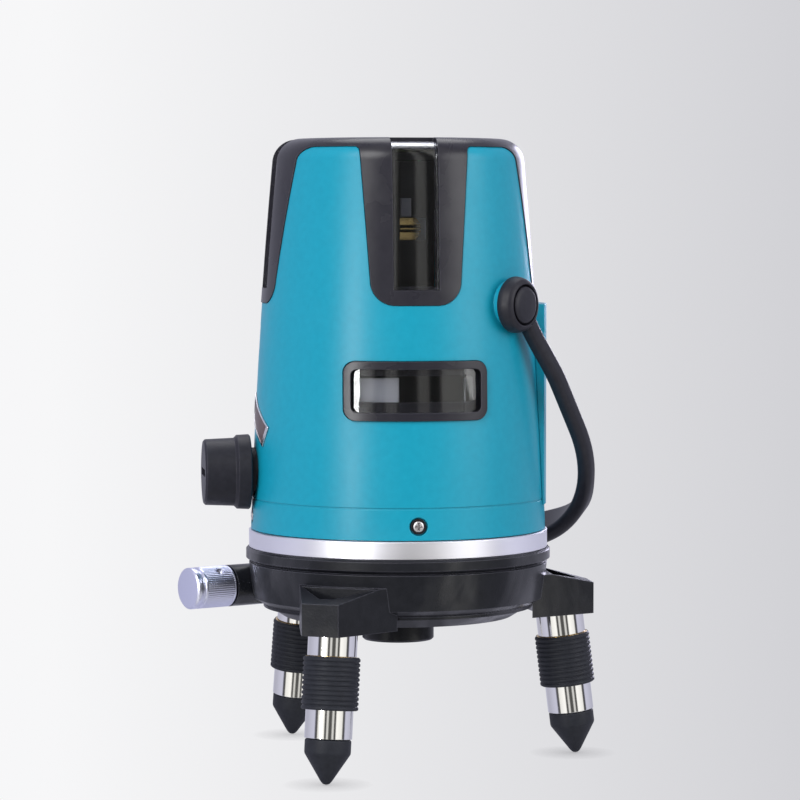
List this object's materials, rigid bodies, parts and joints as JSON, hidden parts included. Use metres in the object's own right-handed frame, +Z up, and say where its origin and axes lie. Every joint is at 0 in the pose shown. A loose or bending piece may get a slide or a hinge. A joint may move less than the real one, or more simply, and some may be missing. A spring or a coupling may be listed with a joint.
{
  "type": "laser level on tripod",
  "caption": "Self-levelling cross-line laser level with a turning head, folding carry handle, fine-adjust knob and screw legs on a tripod-threaded base.",
  "frame": {"origin": "centre of the tripod thread's mouth, on the underside of the base", "axes": "+Z up through the head, -Y towards the front window, +X towards the battery cover"},
  "size_m": [0.1503, 0.1365, 0.2161],
  "materials": {
    "teal_plastic": "fine moulded texture",
    "cap_plastic": "polished",
    "base_plastic": "satin",
    "handle_plastic": "fine moulded texture",
    "inner_plastic": "plain",
    "button_rubber": "matt",
    "window_glass": "clear tinted",
    "vial_glass": "clear green",
    "ring_aluminium": "turned",
    "aluminium": "machined",
    "leg_chrome": "polished",
    "leg_rubber": "matt",
    "brass": "turned",
    "steel": "machined",
    "screw_steel": "blackened",
    "badge_metal": "bare",
    "clutch_rubber": "matt",
    "board": "plain",
    "cell": "sleeve",
    "copper": "turned"
  },
  "bodies": {
    "base": {"base_housing": "base_plastic", "tripod_thread_insert": "brass", "scale_ring": "ring_aluminium", "spindle_bush": "brass", "worm_bushes": "inner_plastic", "leg_guide_pins": "steel", "leg_1_upper_tube": "leg_chrome", "leg_2_upper_tube": "leg_chrome", "leg_3_upper_tube": "leg_chrome"},
    "leg_1_collar": {"leg_1_nut": "brass", "leg_1_grip": "leg_rubber"},
    "leg_1_lower": {"leg_1_screw_tube": "leg_chrome", "leg_1_foot": "leg_rubber"},
    "leg_2_collar": {"leg_2_nut": "brass", "leg_2_grip": "leg_rubber"},
    "leg_2_lower": {"leg_2_screw_tube": "leg_chrome", "leg_2_foot": "leg_rubber"},
    "leg_3_collar": {"leg_3_nut": "brass", "leg_3_grip": "leg_rubber"},
    "leg_3_lower": {"leg_3_screw_tube": "leg_chrome", "leg_3_foot": "leg_rubber"},
    "fine_drive": {"worm_shaft": "steel", "fine_adjust_knob": "aluminium", "knob_set_screw": "steel"},
    "drive_gear": {"drive_gear": "brass", "clutch_washer": "clutch_rubber"},
    "head": {"turntable": "aluminium", "spindle_clip": "steel", "chassis_frame": "inner_plastic", "body_shell": "teal_plastic", "top_cap": "cap_plastic", "front_window": "window_glass", "right_window": "window_glass", "rear_window": "window_glass", "left_window": "window_glass", "lower_window_bezel": "cap_plastic", "lower_window_glass": "window_glass", "shell_screws": "screw_steel", "badge_plate": "badge_metal", "battery_tray": "inner_plastic", "battery_cells": "cell", "circuit_boards": "board", "dc_socket": "inner_plastic", "bubble_vial": "vial_glass", "damper_magnets": "steel", "handle_pivot_screws": "steel"},
    "battery_cover": {"battery_cover": "teal_plastic"},
    "power_button": {"power_button": "button_rubber"},
    "mode_button": {"mode_button": "button_rubber"},
    "handle": {"handle_bail": "handle_plastic", "handle_hub_caps": "handle_plastic"},
    "lock": {"lock_knob": "handle_plastic", "lock_cam_shaft": "steel"},
    "lock_plunger": {"lock_plunger": "inner_plastic"},
    "gimbal_ring": {"gimbal_ring": "aluminium"},
    "pendulum": {"pendulum_body": "aluminium", "vertical_laser_modules": "brass", "horizontal_laser_module": "brass", "plumb_laser_module": "brass", "damper_plate": "copper"}
  },
  "joints": [
    {"name": "leg_1_collar_turn", "type": "hinge", "parent": "base", "child": "leg_1_collar", "pos_m": [-0.0287, -0.04971, 0.0073], "axis": [-0.0609, -0.1055, -0.9925], "range_deg": [-540, 540]},
    {"name": "leg_1_extend", "type": "slide", "parent": "base", "child": "leg_1_lower", "axis": [-0.0609, -0.1055, -0.9925], "range_m": [-0.006, 0.006]},
    {"name": "leg_2_collar_turn", "type": "hinge", "parent": "base", "child": "leg_2_collar", "pos_m": [0.0574, 0, 0.0073], "axis": [0.1219, 0, -0.9925], "range_deg": [-540, 540]},
    {"name": "leg_2_extend", "type": "slide", "parent": "base", "child": "leg_2_lower", "axis": [0.1219, 0, -0.9925], "range_m": [-0.006, 0.006]},
    {"name": "leg_3_collar_turn", "type": "hinge", "parent": "base", "child": "leg_3_collar", "pos_m": [-0.0287, 0.04971, 0.0073], "axis": [-0.0609, 0.1055, -0.9925], "range_deg": [-540, 540]},
    {"name": "leg_3_extend", "type": "slide", "parent": "base", "child": "leg_3_lower", "axis": [-0.0609, 0.1055, -0.9925], "range_m": [-0.006, 0.006]},
    {"name": "drive_gear_turn", "type": "hinge", "parent": "base", "child": "drive_gear", "pos_m": [0, 0, 0.0178], "axis": [0, 0, 1], "continuous": true},
    {"name": "fine_knob_turn", "type": "hinge", "parent": "base", "child": "fine_drive", "pos_m": [-0.01847, 0.03548, 0.0178], "axis": [-0.887, -0.4617, 0], "continuous": true},
    {"name": "head_turn", "type": "hinge", "parent": "drive_gear", "child": "head", "pos_m": [0, 0, 0.033], "axis": [0, 0, 1], "continuous": true},
    {"name": "handle_lift", "type": "hinge", "parent": "head", "child": "handle", "pos_m": [0, 0, 0.1176], "axis": [0.7071, -0.7071, 0], "range_deg": [0, 180]},
    {"name": "lock_turn", "type": "hinge", "parent": "head", "child": "lock", "pos_m": [0, 0, 0.0591], "axis": [-1, 0, 0], "range_deg": [0, 90]},
    {"name": "lock_plunger_rise", "type": "slide", "parent": "head", "child": "lock_plunger", "axis": [0, 0, 1], "range_m": [0, 0.00255]},
    {"name": "gimbal_swing", "type": "hinge", "parent": "head", "child": "gimbal_ring", "pos_m": [0, 0, 0.158], "axis": [1, 0, 0], "range_deg": [-3, 3]},
    {"name": "pendulum_swing", "type": "hinge", "parent": "gimbal_ring", "child": "pendulum", "pos_m": [0, 0, 0.158], "axis": [0, 1, 0], "range_deg": [-3, 3]},
    {"name": "battery_cover_pull", "type": "slide", "parent": "head", "child": "battery_cover", "axis": [1, 0, 0], "range_m": [0, 0.004]},
    {"name": "power_button_press", "type": "slide", "parent": "head", "child": "power_button", "axis": [0, 0, -1], "range_m": [0, 0.0008], "stiffness_N_per_m": 400, "springref_m": -0.0004},
    {"name": "mode_button_press", "type": "slide", "parent": "head", "child": "mode_button", "axis": [0, 0, -1], "range_m": [0, 0.0008], "stiffness_N_per_m": 400, "springref_m": -0.0004}
  ],
  "couplings": [
    {"joint": "leg_1_collar_turn", "follows": "leg_1_extend", "rad_per_m": 1570.8},
    {"joint": "leg_2_collar_turn", "follows": "leg_2_extend", "rad_per_m": 1570.8},
    {"joint": "leg_3_collar_turn", "follows": "leg_3_extend", "rad_per_m": 1570.8},
    {"joint": "fine_knob_turn", "follows": "drive_gear_turn", "ratio": 72},
    {"joint": "lock_turn", "follows": "lock_plunger_rise", "rad_per_m": 617}
  ]
}
